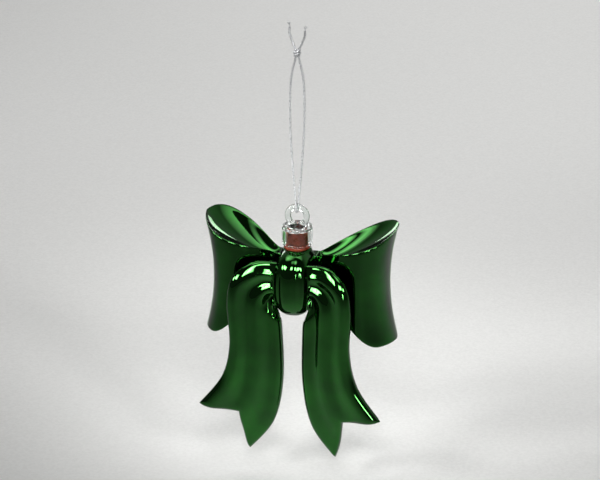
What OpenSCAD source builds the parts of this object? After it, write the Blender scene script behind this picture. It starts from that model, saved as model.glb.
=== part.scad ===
// Hanging bow ornament: a hollow moulded bow of two loops, two tails and a knot,
// a clear cap with an eyelet that turns in the neck, and a silver cord loop.
// The origin is the hanging point under the cord's knot. +Z is up and the bow faces -Y.

/* [Moulding] */
// Wall of the hollow mouldings
wall = 1.0; // [0.8:0.1:1.4]
// Gap between a spigot and its socket
socket_gap = 0.2; // [0.1:0.05:0.3]
// How deep each spigot sits inside the knot's side
spigot_len = 3.2; // [2.5:0.1:4]

/* [Knot] */
// Width of the knot across the front
knot_w = 15; // [13:0.5:18]
// Height of the knot's top above the bow's centre
knot_top = 9; // [8.5:0.5:12]
// Depth of the knot's foot below the bow's centre
knot_foot = 15.5; // [14:0.5:19]
// How far the knot stands in front of the neck's axis
knot_front = 13; // [12:0.5:17]
// How far the knot reaches behind the neck's axis
knot_back = 8.5; // [8:0.5:12]

/* [Loops] */
// Reach of a loop from the middle to its outer end
loop_reach = 35; // [30:1:45]
// Height of the upper outer corner above the bow's centre
loop_top = 17; // [14:1:24]
// Depth of the lower outer corner below the bow's centre
loop_foot = 26; // [20:1:32]
// Greatest depth of a loop from front to back
loop_depth = 24; // [18:1:30]
// Height of the gathered root where a loop enters the knot
loop_root_h = 14; // [10:0.5:14]
// Depth of that root from front to back
loop_root_d = 6; // [5:0.5:7]
// How far the roots sit behind the neck's axis
loop_root_back = 2; // [1:0.5:3]
// How far the outer end of a loop sweeps to the back
loop_sweep = 5; // [2:0.5:9]
// Sinking of the leaf-shaped mouths, top and bottom
mouth_dip = 5; // [2:0.5:8]
// How much higher the back rim of the upper mouth stands
mouth_tilt_h = 3; // [0:0.5:5]
// Height of the gathers that run out from the knot
loop_gather = 0.5; // [0:0.1:0.8]
// How far the outer end is drawn in at half height
waist_depth = 3; // [0:0.5:5]

/* [Tails] */
// Drop of the inner tip below the bow's centre
tail_drop = 69; // [60:0.5:80]
// Distance of the inner edge from the middle
tail_inset = 3.6; // [3:0.2:5]
// Width of a tail at half length
tail_w = 18.6; // [15:0.2:22]
// How far the inner tip flares outwards from the inner edge
tail_flare = 12.3; // [7:0.1:15]
// Sideways distance between the two tips of one tail
tip_spread = 17.5; // [14:0.5:22]
// Height of the outer tip above the inner tip
tip_rise = 18.5; // [12:0.5:22]
// Depth of the swallowtail notch
notch = 6; // [3:0.5:9]
// Thickness of a tail
tail_t = 5.5; // [5:0.25:7]
// Height of the gathered root where a tail enters the knot
tail_root_h = 17; // [13:0.5:18]
// How far the tail roots stand in front of the neck's axis
tail_root_front = 7.5; // [6.5:0.5:9]
// How far the shoulder of a tail swells to the front
shoulder = 2.5; // [1:0.5:4]
// How far the outer edge of a tail comes to the front
tail_turn_depth = 3; // [0:0.5:5]
// Height of the pleats that run down a tail
pleat = 0.8; // [0:0.1:1.2]
// Height of the gathers on a tail's shoulder
tail_gather = 0.8; // [0:0.1:1.2]

/* [Neck and cap] */
// Outer diameter of the cap's skirt
cap_d = 11; // [10:0.5:13]
// Wall of the cap's skirt and top
cap_wall = 1.2; // [1:0.1:1.4]
// Radial clearance of the skirt round the neck
skirt_gap = 0.5; // [0.3:0.1:0.8]
// Wall of the neck, between the skirt's clearance and the bore that the stem turns in
neck_wall = 1.3; // [1:0.1:1.6]
// Height of the neck above its collar
neck_h = 5.5; // [4:0.5:8]
// How far the neck reaches into the knot
neck_in = 2.4; // [2:0.2:3]
// Thickness of the collar that rests on the knot
collar_t = 1.2; // [0.8:0.2:2]
// How far the collar stands out past the neck
collar_out = 0.9; // [0.6:0.1:1.2]
// Radial clearance of the turning stem in the bore
stem_gap = 0.06; // [0.03:0.01:0.1]
// Gap between the cap and the end faces of the neck
cap_gap = 0.3; // [0.2:0.05:0.5]
// Bar thickness of the eyelet ring
eyelet_bar = 2.2; // [1.6:0.1:2.4]
// Diameter of the eyelet's hole
eyelet_hole = 4.6; // [4.4:0.2:6]
// How far the snap bead stands out past the stem
bead = 0.45; // [0.3:0.05:0.6]
// Width of the slit that lets the stem spring
slit = 1.2; // [0.8:0.1:1.6]
// How far the slit runs up past the neck's foot
slit_up = 3; // [2:0.5:4]

/* [Cord] */
// Diameter of the cord
cord_d = 0.8; // [0.6:0.1:0.8]
// Diameter of the cord's knot
cord_knot_d = 3; // [2.6:0.2:4]
// Length of the cord's knot
cord_knot_h = 4; // [3:0.5:6]
// Length of each free end above the knot
free_end = 10; // [4:1:14]

/* [Hidden] */
$fn = 64;

green = [0.10, 0.42, 0.14];
deep_green = [0.07, 0.33, 0.11];
neck_brown = [0.42, 0.16, 0.09];
clear = [0.86, 0.92, 0.90, 0.45];
silver = [0.78, 0.79, 0.80];

// One half of the cord's route, from its end inside the cord's knot to the lowest point of
// the bend under the eyelet's bar. The other half is this one turned half round.
half_route = [
    [-0.5, 0, 2.4], [-0.6, 0, 0.8], [-1.3, 0, -2], [-2.1, 0, -6], [-2.5, 0, -12],
    [-2.5, -0.3, -19], [-2.2, -0.7, -27], [-1.6, -1.1, -35], [-0.9, -1.5, -43],
    [-0.3, -1.75, -49], [0, -1.8, -52], [0, -1.8, -54], [0, -1.55, -54.9],
    [0, -0.9, -55.55], [0, 0, -55.8]
];
// Height of the middle of the eyelet's bar, which the cord's lowest bend is drawn round
bar_z = -54;
cord_ring_step = 2.2;
knot_underside = 0.8;

// Heights above the bow's centre. The collar's seat is sunk into the knot's top.
seat_sink = 0.4;
seat_gap = 0.2;
// The boss under the collar flares out into the knot's top
boss_h = 2.4;
boss_flare = 1;
seat_z = knot_top - seat_sink;
neck_top = seat_z + collar_t + neck_h;
neck_foot = seat_z - neck_in;
cap_under = neck_top + cap_gap;
cap_top = cap_under + cap_wall;
eyelet_r = (eyelet_hole + eyelet_bar) / 2;
eyelet_sink = 0.9;
eyelet_z = cap_top - eyelet_sink + eyelet_r + eyelet_bar / 2;
skirt_r = cap_d / 2 - cap_wall;
neck_d = 2 * (skirt_r - skirt_gap);
neck_bore = neck_d - 2 * neck_wall;
stem_r = neck_bore / 2 - stem_gap;
// The bow's centre below the hanging point
bow_drop = eyelet_z + eyelet_r - bar_z;

knot_mid = [0, (knot_back - knot_front) / 2, (knot_top - knot_foot) / 2];
knot_half = [knot_w / 2, (knot_back + knot_front) / 2, (knot_top + knot_foot) / 2];
// A power of 2 is an ellipse, and a higher one a squarer barrel
knot_power = 2.6;
// The cavity is kept this much further in, because its flat facets cut the corners
core_allowance = 0.2;
// Where loops and tails leave the knot's side, and where their spigots end inside it
side_sink = 0.2;
seat_x = knot_w / 2 - side_sink;
root_x = seat_x - spigot_len;
// The loops' roots pass just under the neck's foot
root_under_neck = 0.2;
loop_root_z = neck_foot - root_under_neck - loop_root_h / 2;
tail_root_z = -3.5;

function mix(a, b, t) = a + (b - a) * t;
function ease(t) = let (c = max(0, min(1, t))) c * c * (3 - 2 * c);
function unit(v) = v / norm(v);
function signed_pow(x, p) = sign(x) * pow(abs(x), p);

// A smooth curve through points, from t = 0 at the first to t = 1 at the last
function curve_piece(a, b, c, d, t) =
    0.5 * (2 * b + (c - a) * t + (2 * a - 5 * b + 4 * c - d) * t * t
        + (3 * b - a - 3 * c + d) * t * t * t);
function curve_at(points, t) =
    let (
        last = len(points) - 1,
        place = max(0, min(t * last, last - 0.000001)),
        i = floor(place)
    )
    curve_piece(points[max(i - 1, 0)], points[i], points[i + 1],
        points[min(i + 2, last)], place - i);

// Side faces between rings of n points that start at index first
function skin(first, rings, n, inside = false) = [
    for (i = [0:rings - 2])
    for (k = [0:n - 1])
    let (
        a = first + i * n + k,
        b = first + i * n + (k + 1) % n,
        c = b + n,
        d = a + n
    )
    for (t = [[a, b, c], [a, c, d]]) inside ? [t[2], t[1], t[0]] : t
];
// A fan of faces that closes a ring on one point
function fan(first, n, pole, inside = false) = [
    for (k = [0:n - 1])
    let (a = first + k, b = first + (k + 1) % n)
    inside ? [b, a, pole] : [a, b, pole]
];
// The open edge between an outer and an inner ring
function lip(outer, inner, n) = [
    for (k = [0:n - 1])
    let (j = (k + 1) % n)
    for (t = [[outer + j, outer + k, inner + k], [outer + j, inner + k, inner + j]]) t
];

// A hollow moulding of outer and inner rings, open at the first ring. cap holds the faces
// that close the last ring of each, counted from that ring's first point.
module hollow(outer, inner, cap) {
    n = len(outer[0]);
    inner_first = len(outer) * n;
    inner_last = inner_first + (len(inner) - 1) * n;
    points = concat([for (r = outer) each r], [for (r = inner) each r]);
    faces = concat(
        skin(0, len(outer), n),
        skin(inner_first, len(inner), n, true),
        [for (t = cap) [for (i = [0:2]) inner_first - n + t[i]]],
        [for (t = cap) [for (i = [2:-1:0]) inner_last + t[i]]],
        lip(0, inner_first, n));
    polyhedron(points, faces);
}

// Loops. Angle 0 is the root at the knot and 180 the rounded outer end of the plan outline.
loop_span = loop_reach - seat_x;
loop_wall_steps = 14;
loop_mouth_steps = 7;
// Gathers up a loop's wall, counted in waves, and where the first one lies
loop_gather_count = 1.3;
loop_gather_ratio = 0.2;
// Widest value of sin(a) * sin(a / 2), which the plan outline is drawn with
plan_peak_ratio = 0.77;
// How early the upper edge rises and the lower edge falls, on the way from root to end
upper_rise_power = 0.85;
lower_fall_ratio = 1.15;
// How far the walls are drawn in at half height, as a share of the half depth
wall_draw_ratio = 0.06;
// The mouths are this many times as thick as the walls, because they slope
mouth_thick_ratio = 1.6;

function loop_share(a) = (1 - cos(a)) / 2;
function loop_half(a, in) =
    let (
        plan = (loop_depth / 2) / plan_peak_ratio * sin(a) * sin(a / 2),
        root = loop_root_d / 2 * pow(1 - loop_share(a), 2)
    )
    norm([plan, root]) - in;
function loop_back_at(s) = loop_root_back + loop_sweep * pow(s, 1.5);
function loop_upper(s) = mix(loop_root_z + loop_root_h / 2, loop_top, pow(s, upper_rise_power));
function loop_lower(s) = mix(loop_root_z - loop_root_h / 2, -loop_foot, ease(s * lower_fall_ratio));

// One ring of a loop: up the front wall, over the upper mouth, down the back wall and
// back under the lower mouth. x is where the ring stands, in is the inset of the inside.
function loop_ring(x, a, in) =
    let (
        s = loop_share(a),
        h = loop_half(a, in),
        mid = loop_back_at(s),
        dip = mouth_dip * pow(sin(180 * pow(s, 0.8)), 0.6),
        lift = mouth_tilt_h * s,
        upper = loop_upper(s) - mouth_thick_ratio * in,
        lower = loop_lower(s) + mouth_thick_ratio * in,
        wall_v = [for (k = [0:loop_wall_steps]) 2 * k / loop_wall_steps - 1],
        mouth_q = [for (k = [1:loop_mouth_steps - 1]) 2 * k / loop_mouth_steps - 1],
        front = [for (v = wall_v) [-1, v]],
        back = [for (k = [loop_wall_steps:-1:0]) [1, wall_v[k]]],
        drawn_x = function(v) x - waist_depth * s * s * (1 - v * v),
        gathered = loop_gather * ease(s / 0.06) * (1 - ease((s - 0.08) / 0.5)),
        wall_y = function(v) h * (1 - wall_draw_ratio * s * (1 - v * v))
            + gathered * (1 - pow(v, 4)) * cos(360 * (loop_gather_count * v + loop_gather_ratio)),
        wall_point = function(p) [
            drawn_x(p[1]), mid + p[0] * wall_y(p[1]),
            mix(lower, upper + lift * p[0] / 2, (p[1] + 1) / 2)
        ],
        top = [for (q = mouth_q)
            [x, mid + q * h, upper + lift * q / 2 - dip * (1 - q * q)]],
        bottom = [for (k = [len(mouth_q) - 1:-1:0]) let (q = mouth_q[k])
            [x, mid + q * h, lower + dip * (1 - q * q)]]
    )
    concat([for (p = front) wall_point(p)], top, [for (p = back) wall_point(p)], bottom);

function loop_x(a) = seat_x + loop_span * loop_share(a);
// The outer end of a loop: strips from the front wall to the back wall, and a fan that
// takes in the points of each mouth
function loop_cap() =
    let (
        n = loop_wall_steps,
        m = loop_mouth_steps - 1,
        back = 2 * n + m + 1,
        count = 2 * (n + 1 + m),
        strips = [
            for (k = [1:n - 2])
            for (t = [[k, k + 1, back - k - 1], [k, back - k - 1, back - k]]) t
        ],
        top = [for (k = [n:n + m + 1]) [n - 1, k, k + 1]],
        bottom = [
            for (k = [0:m + 1]) [back - 1, (back + k) % count, (back + k + 1) % count]
        ]
    )
    concat(strips, top, bottom);

module loop_moulding() {
    outer_angles = [0, 18, 34, 50, 66, 82, 98, 112, 124, 135, 145, 154, 162, 169, 175];
    inner_angles = [0, 18, 34, 50, 66, 82, 98, 112, 124, 135, 143, 149];
    outer = concat(
        [loop_ring(root_x, 0, 0)], [for (a = outer_angles) loop_ring(loop_x(a), a, 0)]);
    inner = concat(
        [loop_ring(root_x, 0, wall)],
        [for (a = inner_angles) loop_ring(loop_x(a), a, wall)]);
    hollow(outer, inner, loop_cap());
}

// Tails. The two edges are smooth curves in the plane of the bow, from the root to the tips.
tail_root_low = tail_root_z - tail_root_h / 2;
tail_root_high = tail_root_z + tail_root_h / 2;
inner_tip = [tail_inset + tail_flare, -tail_drop];
outer_tip = inner_tip + [tip_spread, tip_rise];
tail_out = tail_inset + tail_w;
// How far the inner edge falls as it turns down, and how far the outer edge bows
crook_h = 2;
edge_bow = 0.3;
inner_edge = [
    [root_x, tail_root_low], [mix(seat_x, tail_inset, 0.08), tail_root_low - socket_gap],
    [mix(seat_x, tail_inset, 0.2), tail_root_low - 0.6 * crook_h],
    [mix(seat_x, tail_inset, 0.6), tail_root_low - 1.6 * crook_h],
    [mix(seat_x, tail_inset, 0.95), tail_root_low - 4 * crook_h],
    [tail_inset, mix(tail_root_low, -tail_drop, 0.5)],
    [mix(tail_inset, inner_tip[0], 0.27), mix(tail_root_low, -tail_drop, 0.79)],
    inner_tip
];
outer_edge = [
    [root_x, tail_root_high], [seat_x, tail_root_high + socket_gap],
    [mix(seat_x, tail_out, 0.46), tail_root_high],
    [mix(seat_x, tail_out, 0.89), mix(tail_root_high, outer_tip[1], 0.09)],
    [tail_out + edge_bow, mix(tail_root_high, outer_tip[1], 0.27)],
    [tail_out - edge_bow, mix(tail_root_high, outer_tip[1], 0.56)],
    [mix(tail_out, outer_tip[0], 0.24), mix(tail_root_high, outer_tip[1], 0.79)],
    outer_tip
];
tail_face_steps = 14;
tail_rings = 22;
seat_ratio = 1 / (len(inner_edge) - 1);
// A tail is this much thinner at its root, and its tips curl this far to the front
root_thinning = 0.5;
tip_curl = 2;
// The edge walls of a tail are this much thicker where the inner edge turns down
crook_thick_ratio = 2;
// Pleats across a tail, counted in waves, and where the first one lies
pleat_count = 1.25;
pleat_start_ratio = 0.1;
// Gathers across a tail's shoulder, counted in waves, and where the first one lies
tail_gather_count = 1.35;
tail_gather_ratio = -0.15;

// How far a tail's middle surface stands to the back, u along it and w across, outwards
function tail_y(u, w) =
    let (
        free = ease((u - seat_ratio) / 0.3),
        swell = shoulder * sin(180 * ease((u - seat_ratio) / 0.75)),
        fold = pleat * free * (1 - 0.5 * u) * cos(360 * pleat_count * (w + pleat_start_ratio)),
        gathered = tail_gather * ease((u - seat_ratio - 0.02) / 0.05)
            * (1 - ease((u - seat_ratio - 0.09) / 0.24))
            * cos(360 * (tail_gather_count * w + tail_gather_ratio)),
        end_curl = tip_curl * ease((u - 0.6) / 0.4)
    )
    -tail_root_front - swell - fold - gathered - tail_turn_depth * w * free - end_curl;

// A point of a tail: w across from the inner edge (-1) to the outer (1), side -1 on the
// front face, 0 on the edge and 1 on the back, in the inset of the inside
function tail_point(u, w, side, in) =
    let (
        half_t = mix(tail_t - root_thinning, tail_t, ease((u - seat_ratio) / 0.3)) / 2 - in,
        cut = 1 - abs(w),
        v = u * (1 - (notch / tail_drop) * cut * ease((u - 0.5) / 0.5)),
        low = curve_at(inner_edge, v),
        high = curve_at(outer_edge, v),
        crook = ease((u - 0.05) / 0.1) * (1 - ease((u - 0.35) / 0.25)),
        edge_in = in * (1 + crook_thick_ratio * crook) / norm(high - low),
        w_in = w * (1 - 2 * edge_in),
        p = mix(low, high, 0.5 + w_in / 2),
        round = 1 - 0.25 * pow(abs(w), 6)
    )
    [p[0], tail_y(v, w_in) + side * half_t * round, p[1]];
function tail_ring(u, in) =
    let (ws = [for (k = [0:tail_face_steps]) 0.94 * (2 * k / tail_face_steps - 1)])
    concat(
        [for (w = ws) tail_point(u, w, -1, in)],
        [tail_point(u, 1, 0, in)],
        [for (k = [tail_face_steps:-1:0]) tail_point(u, ws[k], 1, in)],
        [tail_point(u, -1, 0, in)]);
// The end face of a tail, in strips from the front face to the back face
function tail_cap() =
    let (
        m = tail_face_steps + 1,
        strips = [
            for (k = [0:m - 2])
            for (t = [[k, k + 1, 2 * m - k - 1], [k, 2 * m - k - 1, 2 * m - k]]) t
        ]
    )
    concat(strips, [[m - 1, m, m + 1], [2 * m, 2 * m + 1, 0]]);

module tail_moulding() {
    inner_ratio = 1 - 2.5 * wall / tail_drop;
    outer = [for (i = [0:tail_rings]) tail_ring(i / tail_rings, 0)];
    inner = [for (i = [0:tail_rings]) tail_ring(inner_ratio * i / tail_rings, wall)];
    hollow(outer, inner, tail_cap());
}

// A barrel with rounded ends round the knot's middle, in its inset for the cavity
module knot_barrel(in, levels, n) {
    half = [for (s = knot_half) s - in];
    rings = [
        for (i = [1:levels - 1])
        let (
            angle = 180 * i / levels - 90,
            k = pow(cos(angle), 2 / knot_power),
            z = signed_pow(sin(angle), 2 / knot_power)
        )
        [for (j = [0:n - 1])
            let (turn = -360 * j / n)
            knot_mid + [
                half[0] * k * signed_pow(cos(turn), 2 / knot_power),
                half[1] * k * signed_pow(sin(turn), 2 / knot_power),
                half[2] * z
            ]]
    ];
    poles = (levels - 1) * n;
    points = concat([for (r = rings) each r],
        [knot_mid - [0, 0, half[2]], knot_mid + [0, 0, half[2]]]);
    faces = concat(
        skin(0, levels - 1, n),
        fan(poles - n, n, poles + 1),
        fan(0, n, poles, true));
    polyhedron(points, faces);
}

// A cut in the knot's side for a spigot of height h and depth d
module socket(side, y, z, h, d) {
    g = 2 * socket_gap;
    translate([side * (root_x + knot_w / 2), y, z])
        cube([knot_w, d + g, h + g], center = true);
}

module bow_knot() {
    seat_r = neck_d / 2 + collar_out + seat_gap;
    color(green)
    translate([0, 0, -bow_drop])
    difference() {
        union() {
            knot_barrel(0, 14, 28);
            translate([0, 0, seat_z - boss_h])
                cylinder(r1 = seat_r + boss_flare, r2 = seat_r, h = boss_h);
        }
        knot_barrel(wall + core_allowance, 12, 24);
        for (side = [-1, 1]) {
            socket(side, loop_root_back, loop_root_z, loop_root_h, loop_root_d);
            socket(side, -tail_root_front, tail_root_z, tail_root_h, tail_t - root_thinning);
        }
        translate([0, 0, seat_z])
            cylinder(r = seat_r + boss_flare, h = knot_top);
        cylinder(d = neck_d + 2 * socket_gap, h = 2 * knot_top);
    }
}

module left_loop() {
    color(deep_green)
    translate([0, 0, -bow_drop])
    mirror([1, 0, 0])
    loop_moulding();
}

module right_loop() {
    color(deep_green)
    translate([0, 0, -bow_drop])
    loop_moulding();
}

module left_tail() {
    color(green)
    translate([0, 0, -bow_drop])
    mirror([1, 0, 0])
    tail_moulding();
}

module right_tail() {
    color(green)
    translate([0, 0, -bow_drop])
    tail_moulding();
}

// The neck is a turned bush: a tube with a collar that rests on the knot's seat
module neck_bush() {
    r_in = neck_bore / 2;
    r_out = neck_d / 2;
    collar_r = r_out + collar_out;
    color(neck_brown)
    translate([0, 0, -bow_drop])
    rotate_extrude()
    polygon([
        [r_in, neck_foot], [r_out, neck_foot], [r_out, seat_z], [collar_r, seat_z],
        [collar_r, seat_z + collar_t], [r_out, seat_z + collar_t],
        [r_out, neck_top], [r_in, neck_top]
    ]);
}

// The cap's skirt hangs round the neck, and its split stem turns in the bore. The bead
// under the neck's foot keeps it in.
module hanger_cap() {
    skirt_foot = seat_z + collar_t + cap_gap;
    bead_top = neck_foot - cap_gap;
    bead_h = 1.4;
    bead_land = 0.4;
    stem_foot = bead_top - bead_h;
    taper = 0.5;
    corner = 0.5;
    color(clear)
    translate([0, 0, -bow_drop]) {
        difference() {
            rotate_extrude()
            polygon([
                [0, stem_foot], [stem_r - taper, stem_foot],
                [stem_r + bead, bead_top - bead_land], [stem_r + bead, bead_top],
                [stem_r, bead_top], [stem_r, cap_under], [skirt_r, cap_under],
                [skirt_r, skirt_foot], [cap_d / 2, skirt_foot],
                [cap_d / 2, cap_top - corner], [cap_d / 2 - corner, cap_top],
                [0, cap_top]
            ]);
            translate([-slit / 2, -cap_d, stem_foot - 1])
                cube([slit, 2 * cap_d, neck_foot - stem_foot + 1 + slit_up]);
        }
        translate([0, 0, eyelet_z])
        rotate([90, 0, 0])
        rotate_extrude()
        translate([eyelet_r, 0])
        circle(d = eyelet_bar);
    }
}

// The cord is one tube along its route, from its one end in the cord's knot to the other
module hanging_cord() {
    sides = 8;
    count = len(half_route);
    route = concat(half_route,
        [for (i = [count - 2:-1:0]) [-half_route[i][0], -half_route[i][1], half_route[i][2]]]);
    last = len(route) - 1;
    shares = concat(
        [for (i = [0:last - 1])
            let (steps = ceil(norm(route[i + 1] - route[i]) / cord_ring_step))
            for (k = [0:steps - 1]) (i + k / steps) / last],
        [1]);
    tiny = 0.0005;
    rings = [
        for (t = shares)
        let (
            p = curve_at(route, t),
            ahead = unit(curve_at(route, min(1, t + tiny)) - curve_at(route, max(0, t - tiny))),
            side = unit([1, 0, 0] - ahead[0] * ahead),
            other = cross(ahead, side)
        )
        [for (k = [0:sides - 1])
            let (turn = -360 * k / sides)
            p + cord_d / 2 * (cos(turn) * side + sin(turn) * other)]
    ];
    poles = len(rings) * sides;
    color(silver)
    polyhedron(
        concat([for (r = rings) each r], [route[0], route[last]]),
        concat(skin(0, len(rings), sides), fan(poles - sides, sides, poles + 1),
            fan(0, sides, poles, true)));
}

// The cord's knot is a rounded lump, with the two free ends leaving its top
module cord_knot() {
    r = cord_knot_d / 2;
    top = knot_underside + cord_knot_h;
    lean = 18;
    spread = 12;
    shoulder_ratio = 0.3;
    end_r = r * 0.6;
    color(silver) {
        rotate_extrude()
        polygon([
            [0, knot_underside], [end_r, knot_underside],
            [r, mix(knot_underside, top, shoulder_ratio)],
            [r, mix(top, knot_underside, shoulder_ratio)],
            [end_r, top], [0, top]
        ]);
        for (side = [-1, 1])
            translate([side * cord_d * 0.7, 0, top - 1])
            rotate([side * spread, side * lean, 0]) {
                cylinder(d = cord_d, h = free_end);
                translate([0, 0, free_end]) sphere(d = cord_d);
            }
    }
}

bow_knot();
left_loop();
right_loop();
left_tail();
right_tail();
neck_bush();
hanger_cap();
hanging_cord();
cord_knot();
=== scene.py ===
import math

import bmesh
import bpy
import numpy as np
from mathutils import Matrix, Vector


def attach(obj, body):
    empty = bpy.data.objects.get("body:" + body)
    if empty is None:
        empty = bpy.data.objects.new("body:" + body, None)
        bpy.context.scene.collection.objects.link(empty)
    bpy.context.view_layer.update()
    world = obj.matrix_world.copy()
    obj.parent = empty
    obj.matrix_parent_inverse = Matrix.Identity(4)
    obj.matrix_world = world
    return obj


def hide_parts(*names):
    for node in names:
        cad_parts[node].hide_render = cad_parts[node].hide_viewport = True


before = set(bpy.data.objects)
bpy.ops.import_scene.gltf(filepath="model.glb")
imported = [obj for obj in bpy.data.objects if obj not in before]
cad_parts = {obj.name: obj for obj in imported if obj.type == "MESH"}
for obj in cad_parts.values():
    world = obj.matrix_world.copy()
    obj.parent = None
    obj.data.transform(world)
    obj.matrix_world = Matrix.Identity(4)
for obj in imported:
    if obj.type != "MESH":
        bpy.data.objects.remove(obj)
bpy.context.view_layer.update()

# Camera. The photograph shows this bow from about 14 degrees to its right and 22 degrees
# above its front, through a long lens. The cord stays in view up to its free ends.
camera_aim = Vector((0.001, 0, -0.0665))
camera_distance = 0.95
view_width = 0.212


def outward(right_deg, up_deg):
    """A unit step out of the bow's front, turned to the right and up."""
    right, up = math.radians(right_deg), math.radians(up_deg)
    return Vector((math.sin(right) * math.cos(up), -math.cos(right) * math.cos(up), math.sin(up)))


def point_at(thing, target):
    """Turns a camera or a lamp to a place."""
    thing.rotation_euler = (Vector(target) - thing.location).to_track_quat("-Z", "Y").to_euler()


camera = bpy.data.objects.new("camera", bpy.data.cameras.new("camera"))
camera.location = camera_aim + camera_distance * outward(14, 22)
point_at(camera, camera_aim)
camera.data.sensor_width = 36
camera.data.lens = camera.data.sensor_width * camera_distance / view_width
camera.data.clip_start = 0.01
bpy.context.collection.objects.link(camera)
bpy.context.scene.camera = camera
bpy.context.scene.view_settings.view_transform = "Standard"


# Hanging cord. A limp thread of three silver plies, 0.8 mm thick, goes from its knot down
# through the eyelet and back up. The route is the one in the part's source, in metres.
def linear(hex_colour):
    """An sRGB colour as linear RGBA."""
    parts = [int(hex_colour[i:i + 2], 16) / 255 for i in (0, 2, 4)]
    return [c / 12.92 if c <= 0.04045 else ((c + 0.055) / 1.055) ** 2.4 for c in parts] + [1]


def per_mm(size):
    """The scale of a pattern whose features are size millimetres across."""
    return 1000 / size


def add(tree, kind, inputs=None, **settings):
    """Adds a node with its settings and links. An input is a value, or the socket that feeds it."""
    node = tree.nodes.new(kind)
    for name, value in settings.items():
        setattr(node, name, value)
    for name, value in (inputs or {}).items():
        if isinstance(value, bpy.types.NodeSocket):
            tree.links.new(value, node.inputs[name])
        else:
            node.inputs[name].default_value = value
    return node


def new_material(name):
    """An empty material, its node tree and its coordinates, which are in metres."""
    material = bpy.data.materials.new(name)
    material.use_nodes = True
    tree = material.node_tree
    tree.nodes.clear()
    return material, tree, add(tree, "ShaderNodeTexCoord").outputs["Object"]


def new_piece(name, points, faces, material):
    mesh = bpy.data.meshes.new(name)
    mesh.from_pydata([tuple(p) for p in points], [], faces)
    mesh.validate()
    mesh.polygons.foreach_set("use_smooth", [True] * len(mesh.polygons))
    mesh.materials.append(material)
    piece = bpy.data.objects.new(name, mesh)
    bpy.context.collection.objects.link(piece)
    return piece


def skin(rings, around, closed=False):
    """Quads between rings of around points each."""
    quads = []
    for i in range(rings if closed else rings - 1):
        here, there = i * around, (i + 1) % rings * around
        for k in range(around):
            after = (k + 1) % around
            quads.append((here + k, here + after, there + after, there + k))
    return quads


def smooth_curve(points, shares):
    """A Catmull-Rom curve through points, at shares from 0 to 1."""
    points = np.asarray(points, float)
    last = len(points) - 1
    place = np.clip(np.asarray(shares) * last, 0, last - 1e-9)
    i = place.astype(int)
    t = (place - i).reshape(-1, 1)
    a, b = points[np.maximum(i - 1, 0)], points[i]
    c, d = points[i + 1], points[np.minimum(i + 2, last)]
    bend = (2 * a - 5 * b + 4 * c - d) * t ** 2 + (3 * b - a - 3 * c + d) * t ** 3
    return 0.5 * (2 * b + (c - a) * t + bend)


def thread(route, radius, spacing=0.00012, sides=15, plies=3, pitch=0.0023):
    """Points, faces and middle line of a twisted thread along a route, with rounded ends."""
    fine = smooth_curve(route, np.linspace(0, 1, 40 * len(route)))
    gone = np.concatenate([[0], np.cumsum(np.linalg.norm(np.diff(fine, axis=0), axis=1))])
    along = np.linspace(0, gone[-1], max(8, int(gone[-1] / spacing)))
    middle = np.stack([np.interp(along, gone, fine[:, k]) for k in range(3)], 1)
    ahead = np.gradient(middle, axis=0)
    ahead /= np.linalg.norm(ahead, axis=1, keepdims=True)
    # One guide is carried along the route, so that the sections don't spin against each other
    guide = np.array((1.0, 0, 0)) if abs(ahead[0][0]) < 0.9 else np.array((0, 1.0, 0))
    across = np.zeros_like(ahead)
    for i, a in enumerate(ahead):
        guide = guide - a * guide.dot(a)
        guide /= np.linalg.norm(guide)
        across[i] = guide
    upright = np.cross(ahead, across)
    turn = np.linspace(0, 2 * np.pi, sides, endpoint=False)
    twist = 2 * np.pi * along / pitch
    valley, lobe_height = 0.83, 0.2125
    lobes = valley + lobe_height * np.abs(np.cos(plies / 2 * (turn[None] - twist[:, None])))
    from_end = np.clip(np.minimum(along, along[-1] - along) / radius, 0.02, 1)
    reach = radius * lobes * np.sqrt(1 - (1 - from_end) ** 2)[:, None]
    points = middle[:, None] + reach[..., None] * (
        np.cos(turn)[None, :, None] * across[:, None] + np.sin(turn)[None, :, None] * upright[:, None])
    rings = len(along)
    start_cap = tuple(range(sides - 1, -1, -1))
    end_cap = tuple(range((rings - 1) * sides, rings * sides))
    return points.reshape(-1, 3), skin(rings, sides) + [start_cap, end_cap], middle


# Silver thread: metallised film wound on yarn, so it glints in fine dashes along the plies.
# The fibres are drawn coarser than life, to show.
silver_thread, tree, where = new_material("silver metallised thread")
fibres = add(tree, "ShaderNodeTexNoise", {"Vector": where, "Scale": per_mm(0.385), "Detail": 4})
dashes = add(tree, "ShaderNodeTexVoronoi", {"Vector": where, "Scale": per_mm(0.667)})
# The fibre noise also moves the colour between grey and near white: a painted sheen along the fibres.
painted_sheen = add(tree, "ShaderNodeMapRange", {"Value": fibres.outputs["Fac"], "From Min": 0.3, "From Max": 0.7})
colour = add(tree, "ShaderNodeMix", {
    "Factor": painted_sheen.outputs["Result"], "A": linear("c4c6c8"), "B": linear("f2f3f4")}, data_type="RGBA")
roughness = add(tree, "ShaderNodeMapRange", {
    "Value": dashes.outputs["Distance"], "From Min": 0.1, "From Max": 0.6, "To Min": 0.16, "To Max": 0.5})
bump = add(tree, "ShaderNodeBump", {
    "Height": fibres.outputs["Fac"], "Strength": 0.5, "Distance": 0.0001})
shader = add(tree, "ShaderNodeBsdfPrincipled", {
    "Metallic": 0.5, "Base Color": colour.outputs["Result"], "Roughness": roughness.outputs["Result"],
    "Normal": bump.outputs["Normal"]})
add(tree, "ShaderNodeOutputMaterial", {"Surface": shader.outputs["BSDF"]})

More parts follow.
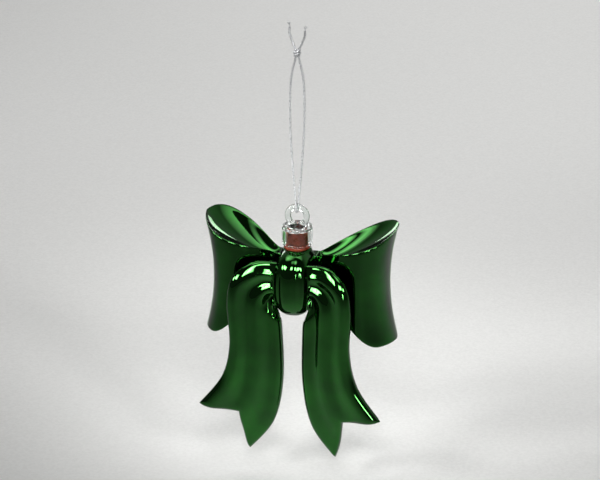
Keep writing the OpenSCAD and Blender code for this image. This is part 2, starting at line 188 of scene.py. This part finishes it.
thread_r = 0.0004
half_route = [
    (-0.0005, 0, 0.0024), (-0.0006, 0, 0.0008), (-0.0013, 0, -0.002), (-0.0021, 0, -0.006),
    (-0.0025, 0, -0.012), (-0.0025, -0.0003, -0.019), (-0.0022, -0.0007, -0.027),
    (-0.0016, -0.0011, -0.035), (-0.0009, -0.0015, -0.043), (-0.0003, -0.00175, -0.049),
    (0, -0.0018, -0.052), (0, -0.0018, -0.054), (0, -0.00155, -0.0549), (0, -0.0009, -0.05555),
    (0, 0, -0.0558)]
route = half_route + [(-x, -y, z) for x, y, z in half_route[-2::-1]]
points, faces, cord_line = thread(route, thread_r)
cord = new_piece("silver_cord", points, faces, silver_thread)
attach(cord, "cord")
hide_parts("hanging_cord")

# Cord's knot. Both strands are tied in one overhand knot, which shows as a wrapped lump,
# and the two free ends stand out above it with frayed tips.
wrap_turns, wrap_r = 2.6, 0.00105
wrap_foot, wrap_height, wrap_slant = 0.0015, 0.0026, 0.00035
end_lean, end_twist, end_length = math.radians(18), math.radians(12), 0.0086
fray_count, fray_r, fray_splay = 6, 0.00008, 0.00035
points, faces = [], []


def lay_strand(line, radius, spacing=0.00012, sides=12):
    """Adds one strand to the knot's points and faces."""
    more, quads, _ = thread(line, radius, spacing, sides)
    faces.extend([tuple(i + len(points) for i in quad) for quad in quads])
    points.extend(more)


share = np.linspace(0, 1, 60)
angle = 2 * np.pi * wrap_turns * share
girth = wrap_r * (0.72 + 0.28 * np.sin(np.pi * share))
wrap = np.stack([
    girth * np.cos(angle), girth * np.sin(angle),
    wrap_foot + wrap_height * share + wrap_slant * np.cos(angle + 0.6)], 1)
lay_strand(np.concatenate([[(0.0002, 0.0002, 0.0014)], wrap, [(-0.0002, 0.0001, 0.0043)]]), 0.00042)
for side in (-1, 1):
    lay_strand([(side * 0.0005, 0, 0.0009), (side * 0.0004, side * 0.0002, 0.0022),
                (side * 0.0005, 0, 0.0038)], thread_r)
    lean = np.array((
        side * math.cos(end_twist) * math.sin(end_lean), -side * math.sin(end_twist),
        math.cos(end_twist) * math.cos(end_lean)))
    foot = np.array((side * 0.00056, 0, 0.0038))
    tip = foot + end_length * lean
    curl = np.array((side * 0.0006, 0, 0))
    lay_strand([foot - 0.001 * lean, foot, foot + 0.003 * lean + 0.7 * curl,
                foot + 0.006 * lean + curl, tip], thread_r)
    for k in range(fray_count):
        splay = fray_splay * np.array((math.cos(1.05 * k), math.sin(1.05 * k), 0))
        lay_strand([tip - 0.0006 * lean, tip + 0.0005 * lean + 0.5 * splay,
                    tip + (0.0012 + 0.0002 * (k % 3)) * lean + 2 * splay], fray_r, 0.0001, 6)
cord_knot = new_piece("tied_cord_knot", points, faces, silver_thread)
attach(cord_knot, "cord")
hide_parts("cord_knot")

# Hanger cap. One clear injection-moulded piece: a skirt round the neck, a split stem that
# turns in it, and an eyelet on top. The foot of the eyelet is filleted into a low dome.
# Sizes of the mouldings are in mm, and their heights are above the bow's own zero.
mm = 0.001
bow_zero = (0, 0, -0.0778)


def rounded(corners, radius, steps=4):
    """A closed outline in mm with its corners rounded by up to radius, except on the axis."""
    corners = [np.array(p, float) for p in corners]
    out = []
    for i, p in enumerate(corners):
        if p[0] == 0:
            out.append(p)
            continue
        before, after = corners[i - 1] - p, corners[(i + 1) % len(corners)] - p
        before_length, after_length = np.linalg.norm(before), np.linalg.norm(after)
        r = min(radius, 0.45 * before_length, 0.45 * after_length)
        a, b = p + before / before_length * r, p + after / after_length * r
        for t in np.linspace(0, 1, steps + 1):
            out.append((1 - t) ** 2 * a + 2 * t * (1 - t) * p + t ** 2 * b)
    return np.array(out)


def lathe(outline, around=96):
    """Points and faces of a closed outline of (radius, height) in mm, turned about Z."""
    turn = np.linspace(0, 2 * np.pi, around, endpoint=False)[:, None]
    radius, height = outline[None, :, 0], outline[None, :, 1]
    points = np.stack([radius * np.cos(turn), radius * np.sin(turn), height + 0 * turn], 2)
    return points.reshape(-1, 3) * mm + bow_zero, skin(around, len(outline), closed=True)


def cut_or_join(piece, tool, operation):
    """Joins tool to piece or cuts it out, and removes the tool."""
    change = piece.modifiers.new("shape", "BOOLEAN")
    change.operation = operation
    change.object = tool
    change.solver = "EXACT"
    bpy.context.view_layer.update()
    shape = bpy.data.meshes.new_from_object(piece.evaluated_get(bpy.context.evaluated_depsgraph_get()))
    piece.modifiers.clear()
    piece.data = shape
    bpy.data.objects.remove(tool)


def weld(piece, gap=1e-6):
    shape = bmesh.new()
    shape.from_mesh(piece.data)
    bmesh.ops.remove_doubles(shape, verts=shape.verts, dist=gap)
    bmesh.ops.recalc_face_normals(shape, faces=shape.faces)
    shape.to_mesh(piece.data)
    shape.free()


# Clear plastic: water-clear, with faint flow waves and handling haze that soften its edges.
clear_plastic, tree, where = new_material("clear moulded plastic")
flow = add(tree, "ShaderNodeTexNoise", {"Vector": where, "Scale": per_mm(2.38), "Detail": 2})
haze = add(tree, "ShaderNodeTexNoise", {"Vector": where, "Scale": per_mm(1.11), "Detail": 5})
handled = add(tree, "ShaderNodeMapRange", {"Value": haze.outputs["Fac"], "From Min": 0.3, "From Max": 0.7})
colour = add(tree, "ShaderNodeMix", {
    "Factor": handled.outputs["Result"], "A": linear("eef6f2"), "B": linear("fbfdfc")}, data_type="RGBA")
roughness = add(tree, "ShaderNodeMapRange", {
    "Value": haze.outputs["Fac"], "From Min": 0.4, "From Max": 0.75, "To Min": 0.02, "To Max": 0.09})
bump = add(tree, "ShaderNodeBump", {"Height": flow.outputs["Fac"], "Strength": 0.12, "Distance": 0.0003})
shader = add(tree, "ShaderNodeBsdfPrincipled", {
    "Transmission Weight": 1, "IOR": 1.49, "Base Color": colour.outputs["Result"],
    "Roughness": roughness.outputs["Result"], "Normal": bump.outputs["Normal"]})
add(tree, "ShaderNodeOutputMaterial", {"Surface": shader.outputs["BSDF"]})

stem_r, bead_r, stem_tip_r, stem_foot = 2.44, 2.89, 1.94, 4.5
bead_low, bead_high = 5.5, 5.9
skirt_in_r, skirt_r, skirt_foot, cap_inside, skirt_top = 4.3, 5.5, 10.1, 15.6, 16.8
dome_r, dome_top, eyelet_foot_r = 3.3, 17.8, 1.9
cap_outline = [
    (0, stem_foot), (stem_tip_r, stem_foot), (bead_r, bead_low), (bead_r, bead_high), (stem_r, bead_high),
    (stem_r, cap_inside), (skirt_in_r, cap_inside), (skirt_in_r, skirt_foot), (skirt_r, skirt_foot),
    (skirt_r, skirt_top), (dome_r, skirt_top + 0.1), (eyelet_foot_r, dome_top - 0.1), (0, dome_top)]
cap = new_piece("clear_hanger_cap", *lathe(rounded(cap_outline, 0.55)), clear_plastic)
weld(cap)
ring_r, bar_r, ring_height = 3.4, 1.1, 20.4
ring_steps, bar_steps = 72, 28
ring_turn = np.linspace(0, 2 * np.pi, ring_steps, endpoint=False)[:, None]
bar_turn = np.linspace(0, 2 * np.pi, bar_steps, endpoint=False)[None]
ring_reach = ring_r + bar_r * np.cos(bar_turn)
ring = np.stack([
    ring_reach * np.cos(ring_turn), bar_r * np.sin(bar_turn) + 0 * ring_turn,
    ring_reach * np.sin(ring_turn) + ring_height], 2)
ring_faces = skin(ring_steps, bar_steps, closed=True)
eyelet = new_piece("eyelet", ring.reshape(-1, 3) * mm + bow_zero, ring_faces, clear_plastic)
weld(eyelet)
slit_half, slit_reach, slit_foot, slit_top = 0.6, 6, 3.5, 9.2
slit_corners = np.array([
    (x, y, z) for x in (-slit_half, slit_half) for y in (-slit_reach, slit_reach)
    for z in (slit_foot, slit_top)])
slit_faces = [(0, 1, 3, 2), (4, 6, 7, 5), (0, 4, 5, 1), (2, 3, 7, 6), (0, 2, 6, 4), (1, 5, 7, 3)]
slit = new_piece("slit", slit_corners * mm + bow_zero, slit_faces, clear_plastic)
cut_or_join(cap, eyelet, "UNION")
cut_or_join(cap, slit, "DIFFERENCE")
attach(cap, "cap")
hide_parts("hanger_cap")

# Neck bush. A bare red-brown moulding glued into the knot's top, which shows through the
# clear cap. Only its collar lies open.

# Red-brown plastic: bare and uncoated, a little cloudy, with a satin grain that is drawn
# coarser than life, to show.
red_brown, tree, where = new_material("bare red-brown plastic")
cloud = add(tree, "ShaderNodeTexNoise", {"Vector": where, "Scale": per_mm(2), "Detail": 4})
grain = add(tree, "ShaderNodeTexNoise", {"Vector": where, "Scale": per_mm(0.25), "Detail": 2})
cloudy = add(tree, "ShaderNodeMapRange", {"Value": cloud.outputs["Fac"], "From Min": 0.3, "From Max": 0.7})
colour = add(tree, "ShaderNodeMix", {
    "Factor": cloudy.outputs["Result"], "A": linear("571f14"), "B": linear("8a3a24")}, data_type="RGBA")
roughness = add(tree, "ShaderNodeMapRange", {
    "Value": cloudy.outputs["Result"], "To Min": 0.22, "To Max": 0.42})
bump = add(tree, "ShaderNodeBump", {"Height": grain.outputs["Fac"], "Strength": 0.1, "Distance": 0.00005})
shader = add(tree, "ShaderNodeBsdfPrincipled", {
    "Base Color": colour.outputs["Result"], "Roughness": roughness.outputs["Result"],
    "Normal": bump.outputs["Normal"]})
add(tree, "ShaderNodeOutputMaterial", {"Surface": shader.outputs["BSDF"]})

neck_bore_r, neck_r, neck_foot, neck_top = 2.5, 3.8, 6.2, 15.3
collar_r, collar_foot, collar_top = 4.7, 8.6, 9.8
neck_outline = [
    (neck_bore_r, neck_foot), (neck_r, neck_foot), (neck_r, collar_foot), (collar_r, collar_foot),
    (collar_r, collar_top), (neck_r, collar_top), (neck_r, neck_top), (neck_bore_r, neck_top)]
neck = new_piece("neck_bush_moulding", *lathe(rounded(neck_outline, 0.35)), red_brown)
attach(neck, "bow")
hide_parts("neck_bush")

# Bow's knot. A hollow barrel, moulded in plastic and vacuum-metallised, with the soft
# upright folds of a tied ribbon. The loops and tails are set into its sides.

# Green mirror: a metal film under clear green lacquer. It mirrors the room almost black
# to bright green, with slight waves of the moulding and a little dust in the lacquer.
# Light that grazes it passes more lacquer, so its edges stay green.
green_mirror, tree, where = new_material("green lacquer over mirror metallising")
pool = add(tree, "ShaderNodeTexNoise", {"Vector": where, "Scale": per_mm(11.1), "Detail": 3})
peel = add(tree, "ShaderNodeTexNoise", {"Vector": where, "Scale": per_mm(3.85), "Detail": 2})
dust = add(tree, "ShaderNodeTexVoronoi", {"Vector": where, "Scale": per_mm(1.43)})
pooled = add(tree, "ShaderNodeMapRange", {"Value": pool.outputs["Fac"], "From Min": 0.3, "From Max": 0.7})
colour = add(tree, "ShaderNodeMix", {
    "Factor": pooled.outputs["Result"], "A": linear("174f15"), "B": linear("1f661b")}, data_type="RGBA")
roughness = add(tree, "ShaderNodeMapRange", {
    "Value": dust.outputs["Distance"], "From Min": 0.02, "From Max": 0.09, "To Min": 0.16, "To Max": 0.045})
bump = add(tree, "ShaderNodeBump", {"Height": peel.outputs["Fac"], "Strength": 0.06, "Distance": 0.0004})
shader = add(tree, "ShaderNodeBsdfPrincipled", {
    "Metallic": 1, "Base Color": colour.outputs["Result"], "Roughness": roughness.outputs["Result"],
    "Specular Tint": linear("3d8a37"), "Normal": bump.outputs["Normal"],
    "Coat Weight": 0.5, "Coat Roughness": 0.02, "Coat IOR": 1.5})
add(tree, "ShaderNodeOutputMaterial", {"Surface": shader.outputs["BSDF"]})

knot_half = np.array((7.5, 10.75, 12.25))
knot_middle = (0, -2.25, -3.25)
knot_power = 2.6
fold_half_height = 11
ball = bmesh.new()
bmesh.ops.create_icosphere(ball, subdivisions=6, radius=1)
outwards = np.array([v.co for v in ball.verts])
faces = [tuple(v.index for v in f.verts) for f in ball.faces]
ball.free()
barrel = outwards / (np.abs(outwards / knot_half) ** knot_power).sum(1, keepdims=True) ** (1 / knot_power)
in_front = np.clip(-outwards[:, 1], 0, 1)
for fold_x, depth, width in ((-3.9, 0.45, 0.8), (3.6, 0.45, 0.8), (1.3, 0.3, 0.6)):
    fold_line = fold_x * (1 - 0.25 * (barrel[:, 2] / knot_half[2]) ** 2)
    groove = depth * np.exp(-((barrel[:, 0] - fold_line) / width) ** 2)
    barrel[:, 1] += groove * in_front * np.clip(1.3 - np.abs(barrel[:, 2]) / fold_half_height, 0, 1)
barrel += knot_middle
# The boss that the neck's collar rests on flares out of the knot's top
boss_top, boss_r, boss_slope, boss_blend = 8.58, 4.9, 2.4, 4
boss_foot, boss_foot_r = 4, 6.4
from_neck = np.hypot(barrel[:, 0], barrel[:, 1])
boss = boss_top - boss_slope * np.clip(from_neck - boss_r, 0, None)
blended = np.logaddexp(boss_blend * barrel[:, 2], boss_blend * boss) / boss_blend
raised = np.where(from_neck < boss_r, boss, blended)
barrel[:, 2] = np.where((barrel[:, 2] > boss_foot) & (from_neck < boss_foot_r), raised, barrel[:, 2])
knot = new_piece("bow_knot_moulding", barrel * mm + bow_zero, faces, green_mirror)
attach(knot, "bow")
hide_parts("bow_knot")


# Loops. Each is a hollow blown form: a bent ribbon with rolled rims, leaf-shaped mouths
# sunk at its top and bottom, and gathers that run out from the knot.
def mix(a, b, t):
    return a + (b - a) * t


def ease(t):
    t = np.clip(t, 0, 1)
    return t * t * (3 - 2 * t)


def zigzag(t):
    """A wave of even slopes with rounded ridges, of period 1."""
    return np.arcsin(0.93 * np.cos(2 * np.pi * t)) / np.arcsin(0.93)


def add_pair(name, shape):
    """Adds the right moulding of a pair and its mirrored left one, closed at the root in the knot."""
    rings, around = shape.shape[:2]
    for hand, side in (("right", 1), ("left", -1)):
        piece = new_piece(f"{hand}_{name}_moulding", shape.reshape(-1, 3) * (side * mm, mm, mm) + bow_zero,
                          skin(rings, around) + [tuple(range(around - 1, -1, -1))], green_mirror)
        weld(piece, gap=2e-5)
        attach(piece, "bow")
        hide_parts(f"{hand}_{name}")


spigot_x, seat_x, loop_reach = 4.1, 7.3, 35
loop_depth, loop_root_depth, loop_root_back, loop_sweep = 24, 6, 2, 5
loop_root_top, loop_top, loop_root_foot, loop_foot = 6, 17, -8, -26
mouth_dip, rim_lift, loop_gather, wall_hollow = 5, 3, 0.6, 3
waist_share, plan_peak = 0.06, 0.77
wall_steps, mouth_steps, rings = 64, 34, 130
turn = np.concatenate([[0, 0], np.linspace(0, np.pi, rings)])[:, None]
out = (1 - np.cos(turn)) / 2
base_x = mix(seat_x, loop_reach, out)
base_x[0] = spigot_x
leaf = loop_depth / 2 / plan_peak * np.sin(turn) * np.sin(turn / 2)
half_depth = np.hypot(leaf, loop_root_depth / 2 * (1 - out) ** 2)
back = loop_root_back + loop_sweep * out ** 1.5
upper = mix(loop_root_top, loop_top, out ** 0.85)
lower = mix(loop_root_foot, loop_foot, ease(out * 1.15))
dip = mouth_dip * np.sin(np.pi * out ** 0.8).clip(0) ** 0.6
lift = rim_lift * out * (1 - out ** 10)
up = np.linspace(-1, 1, wall_steps)[None]
across = np.linspace(-1, 1, mouth_steps + 2)[None, 1:-1]
thick_enough = np.clip(half_depth / (loop_root_depth / 2), 0, 1)
near_knot = ease(out / 0.06) * (1 - ease((out - 0.08) / 0.5)) * thick_enough
gather = loop_gather * near_knot * (1 - up ** 4) * zigzag(1.3 * up + 0.2)
wall_depth = half_depth * (1 - waist_share * out * (1 - up ** 2)) + gather
wall_x = base_x - wall_hollow * out ** 2 * (1 - up ** 2)
front_wall, back_wall = [
    np.stack([wall_x, back + side * wall_depth, mix(lower, upper + side * lift / 2, (up + 1) / 2)], 2)
    for side in (-1, 1)]
mouth_x, mouth_y = base_x + 0 * across, back + across * half_depth
top_mouth = np.stack([mouth_x, mouth_y, upper + lift * across / 2 - dip * (1 - across ** 2)], 2)
foot_mouth = np.stack([mouth_x, mouth_y, lower + dip * (1 - across ** 2)], 2)
loop = np.concatenate([front_wall, top_mouth, back_wall[:, ::-1], foot_mouth[:, ::-1]], 1)
# A blur round each ring rolls the rims
blur_steps = np.arange(-6, 7)
blur = np.exp(-(blur_steps / 2.5) ** 2)
loop = sum(weight * np.roll(loop, step, 1) for step, weight in zip(blur_steps, blur / blur.sum()))
add_pair("loop", loop)

# Tails. Two hollow ribbon ends fall from the knot's sides, thick and round-edged like a
# pillow, gathered at the shoulder and cut to a swallowtail at the foot.
tail_drop, tail_inset, tail_w, tail_flare = 69, 3.6, 18.6, 12.3
tail_root_low, tail_root_high, tail_root_front = -12, 5, 7.5
tail_t, tail_root_t, notch = 5.5, 5, 6
tail_gather, tail_fold, tail_swell, tail_turn, tail_curl = 0.6, 0.8, 2.5, 3, 2
tail_out = tail_inset + tail_w
inner_tip = (tail_inset + tail_flare, -tail_drop)
outer_tip = (33.4, -50.5)
low_edge = [
    (spigot_x, tail_root_low), (6, tail_root_low - 0.1), (5.4, tail_root_low - 1.4),
    (4.6, tail_root_low - 3.6), (mix(seat_x, tail_inset, 0.95), tail_root_low - 8),
    (tail_inset, mix(tail_root_low, -tail_drop, 0.5)),
    (mix(tail_inset, inner_tip[0], 0.27), mix(tail_root_low, -tail_drop, 0.79)), inner_tip]
high_edge = [
    (spigot_x, tail_root_high), (seat_x, tail_root_high + 0.15),
    (mix(seat_x, tail_out, 0.46), tail_root_high),
    (mix(seat_x, tail_out, 0.89), mix(tail_root_high, outer_tip[1], 0.09)),
    (tail_out + 0.3, mix(tail_root_high, outer_tip[1], 0.27)),
    (tail_out - 0.3, mix(tail_root_high, outer_tip[1], 0.56)),
    (mix(tail_out, outer_tip[0], 0.24), mix(tail_root_high, outer_tip[1], 0.79)), outer_tip]
rings, around = 180, 120
down = np.linspace(0, 1, rings)[:, None]
edge_turn = np.linspace(0, 2 * np.pi, around, endpoint=False)[None]
# The section is a pillow at the shoulder and flatter further down. In it breadth goes from
# -1 on the low edge to 1 on the high one, and face from -1 in front to 1 behind.
roundness = 2 / (2.3 + 1.1 * ease((down - 0.3) / 0.25))
breadth = np.sign(np.cos(edge_turn)) * np.abs(np.cos(edge_turn)) ** roundness
face = -np.sign(np.sin(edge_turn)) * np.abs(np.sin(edge_turn)) ** roundness
along = down * (1 - notch / tail_drop * (1 - np.abs(breadth)) * ease((down - 0.5) / 0.5))
low, high = [smooth_curve([(x, 0, z) for x, z in edge], along.ravel()).reshape(rings, around, 3)
             for edge in (low_edge, high_edge)]
tail = mix(low, high, (0.5 + breadth / 2)[..., None])
# The ribbon leaves the knot at the second point of its edges
past_seat = along - 1 / (len(low_edge) - 1)
free = ease(past_seat / 0.3)
swell = tail_swell * np.sin(np.pi * ease(past_seat / 0.75))
fold = tail_fold * free * (1 - 0.5 * along) * np.cos(2 * np.pi * 1.25 * (breadth + 0.1))
# The gathers lie on the front of the shoulder, deep near the low edge and shallow near the high one
deepness = tail_gather + 0.4 * ease((-0.1 - breadth) / 0.35) - 0.5 * ease((breadth - 0.5) / 0.45)
on_shoulder = ease((past_seat + 0.03) / 0.05) * (1 - ease((past_seat - 0.09) / 0.24))
in_front = ease((breadth + 1) / 0.35) * (1 - face) / 2
gather = deepness * on_shoulder * in_front * zigzag(1.6 * breadth + 0.15)
rounded_foot = np.sqrt(np.clip(1 - (np.clip(down - 0.97, 0, 1) / 0.03) ** 2, 0, 1))
half_t = mix(tail_root_t, tail_t, free) / 2 * rounded_foot
curl = tail_curl * ease((along - 0.6) / 0.4)
tail[..., 1] = face * half_t - tail_root_front - swell - fold - gather - tail_turn * breadth * free - curl
add_pair("tail", tail)

# Floor. A wide sheet of pale matt card under the hanging bow, just clear of its tips.
floor_z, floor_half = -0.156, 1.6

# Pale card: matt and almost white, with a faint fleck that is drawn coarser than life. It
# takes the soft shadow and gives the lacquer something pale to mirror.
card, tree, where = new_material("pale matt card")
fleck = add(tree, "ShaderNodeTexNoise", {"Vector": where, "Scale": per_mm(1.11), "Detail": 3})
flecked = add(tree, "ShaderNodeMapRange", {"Value": fleck.outputs["Fac"], "From Min": 0.3, "From Max": 0.7})
colour = add(tree, "ShaderNodeMix", {
    "Factor": flecked.outputs["Result"], "A": linear("e4e4e2"), "B": linear("ececea")}, data_type="RGBA")
shader = add(tree, "ShaderNodeBsdfPrincipled", {"Roughness": 0.9, "Base Color": colour.outputs["Result"]})
add(tree, "ShaderNodeOutputMaterial", {"Surface": shader.outputs["BSDF"]})
corners = [(x * floor_half, y * floor_half, floor_z) for x, y in ((-1, -1), (1, -1), (1, 1), (-1, 1))]
floor = new_piece("floor", corners, [(0, 1, 2, 3)], card)

# Light. The room is pale behind the bow and dim in front, so the faces that mirror the front
# go dark. Softboxes light the floor and the back, and veils above light the loops' mouths. Small
# panels in front give the crisp white patches on the shoulders, and a strip that on a tail's foot.
world = bpy.data.worlds.new("dim studio")
bpy.context.scene.world = world
world.use_nodes = True
tree = world.node_tree
tree.nodes.clear()
look = add(tree, "ShaderNodeSeparateXYZ", {"Vector": add(tree, "ShaderNodeTexCoord").outputs["Generated"]})
behind = add(tree, "ShaderNodeMapRange", {
    "Value": look.outputs["Y"], "From Min": 0.1, "From Max": 0.6, "To Min": 0.06, "To Max": 0.45})
above = add(tree, "ShaderNodeMapRange", {
    "Value": look.outputs["Z"], "From Min": 0.35, "From Max": 0.9, "To Min": 1, "To Max": 0.6})
level = add(tree, "ShaderNodeMath", {
    0: behind.outputs["Result"], 1: above.outputs["Result"]}, operation="MULTIPLY")
room = add(tree, "ShaderNodeBackground", {"Color": linear("ffffff"), "Strength": level.outputs["Value"]})
add(tree, "ShaderNodeOutputWorld", {"Surface": room.outputs["Background"]})

bow_middle, shoulders, tail_foot = (0, 0, -0.07), Vector((0, 0, -0.078)), (0.01, 0, -0.125)
lamps = [
    ("softbox overhead", (0, 0.56, 0.50), (0, 0.56, floor_z), (0.90, 0.90), 84, 1.8),
    ("strip low at the right", (0.225, -0.39, -0.045), tail_foot, (0.04, 0.14), 26, 0.012),
    ("softbox behind", (0.13, 0.74, 0.12), bow_middle, (0.24, 0.14), 60, 0.09),
    ("softbox behind left", (-0.48, 0.57, 0.06), bow_middle, (0.20, 0.14), 60, 0.08),
    ("veil high at the left", (-0.19, 0.03, 0.43), bow_middle, (0.32, 0.36), 32, 0.050),
    ("veil high in front", (0.05, -0.17, 0.40), bow_middle, (0.24, 0.20), 30, 0.020)]
panel_distance, panel_size, panel_spread, panel_power = 0.42, (0.085, 0.11), 22, 0.014
for right_deg, up_deg in ((6, 37), (18, 37), (-34, 34), (-46, 34), (-66, 24), (46, 30)):
    place = shoulders + panel_distance * outward(right_deg, up_deg)
    lamps.append(("front panel", place, shoulders, panel_size, panel_spread, panel_power))
for name, place, target, size, spread, power in lamps:
    lamp = bpy.data.objects.new(name, bpy.data.lights.new(name, "AREA"))
    lamp.data.shape = "RECTANGLE"
    lamp.data.size, lamp.data.size_y = size
    lamp.data.spread = math.radians(spread)
    lamp.data.energy = power
    lamp.location = place
    point_at(lamp, target)
    bpy.context.collection.objects.link(lamp)
